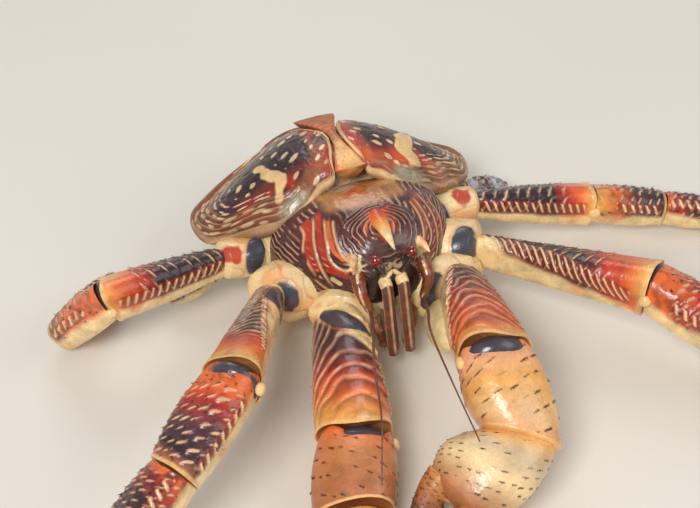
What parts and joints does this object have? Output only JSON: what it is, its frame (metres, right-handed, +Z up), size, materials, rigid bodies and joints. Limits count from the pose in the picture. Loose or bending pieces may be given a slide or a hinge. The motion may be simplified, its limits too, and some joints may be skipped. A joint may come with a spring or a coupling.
{
  "type": "coconut crab",
  "caption": "Large land crab at life size, crouching on its belly with claws folded forward and walking legs spread; for display on a floor or table.",
  "frame": {"origin": "on the small flat under the belly that rests on the floor, at floor level, on the body's middle plane", "axes": "-Y the way the head looks, +X the crab's own left, +Z up"},
  "size_m": [0.5129, 0.3455, 0.0913],
  "materials": {
    "belly": "soft leathery skin",
    "claw": "orange-yellow with rows of short black bristle marks",
    "eye": "dark red, very glossy",
    "feeler": "brown-purple with cream edges",
    "finger": "grey-brown horn, cream at the root",
    "heart": "cream-orange edged with red",
    "ivory": "smooth cream-ivory with orange tints",
    "limb": "dark purple-brown with cream ridges, red and orange at the knee",
    "lobe": "glossy near-black purple with cream spots and a red inner margin",
    "mouth": "bristly brown",
    "shell": "glossy dark red-purple with fine cream ripples",
    "small_leg": "bluish white mottled dark",
    "stalk": "grey-black",
    "tail": "brown-red plates with pale rear edges",
    "tip": "dark horn",
    "whip": "reddish brown"
  },
  "bodies": {
    "root": {"antenna_base_left": "feeler", "antenna_base_right": "feeler", "antenna_tip_left": "whip", "antenna_tip_right": "whip", "antenna_whip_left": "whip", "antenna_whip_right": "whip", "antennule_left": "feeler", "antennule_right": "feeler", "claw_left_carpus": "claw", "claw_left_coxa": "ivory", "claw_left_finger": "finger", "claw_left_merus": "limb", "claw_left_palm": "claw", "claw_right_carpus": "claw", "claw_right_coxa": "ivory", "claw_right_finger": "finger", "claw_right_merus": "limb", "claw_right_palm": "claw", "eye_left": "eye", "eye_right": "eye", "eye_stalk_left": "stalk", "eye_stalk_right": "stalk", "front_leg_left_carpus": "limb", "front_leg_left_coxa": "ivory", "front_leg_left_dactyl": "tip", "front_leg_left_merus": "limb", "front_leg_left_propodus": "limb", "front_leg_right_carpus": "limb", "front_leg_right_coxa": "ivory", "front_leg_right_dactyl": "tip", "front_leg_right_merus": "limb", "front_leg_right_propodus": "limb", "gill_lobe_left": "lobe", "gill_lobe_right": "lobe", "heart_plate": "heart", "mouth_leg_left": "mouth", "mouth_leg_right": "mouth", "rear_leg_left_carpus": "limb", "rear_leg_left_coxa": "ivory", "rear_leg_left_dactyl": "tip", "rear_leg_left_merus": "limb", "rear_leg_left_propodus": "limb", "rear_leg_right_carpus": "limb", "rear_leg_right_coxa": "ivory", "rear_leg_right_dactyl": "tip", "rear_leg_right_merus": "limb", "rear_leg_right_propodus": "limb", "shield": "shell", "small_leg_left_arm": "small_leg", "small_leg_left_claw": "small_leg", "small_leg_right_arm": "small_leg", "small_leg_right_claw": "small_leg", "tail": "belly", "tail_plate_1": "tail", "tail_plate_2": "tail", "tail_plate_3": "tail", "tail_plate_4": "tail", "telson": "tail", "thorax": "ivory"}
  },
  "joints": []
}
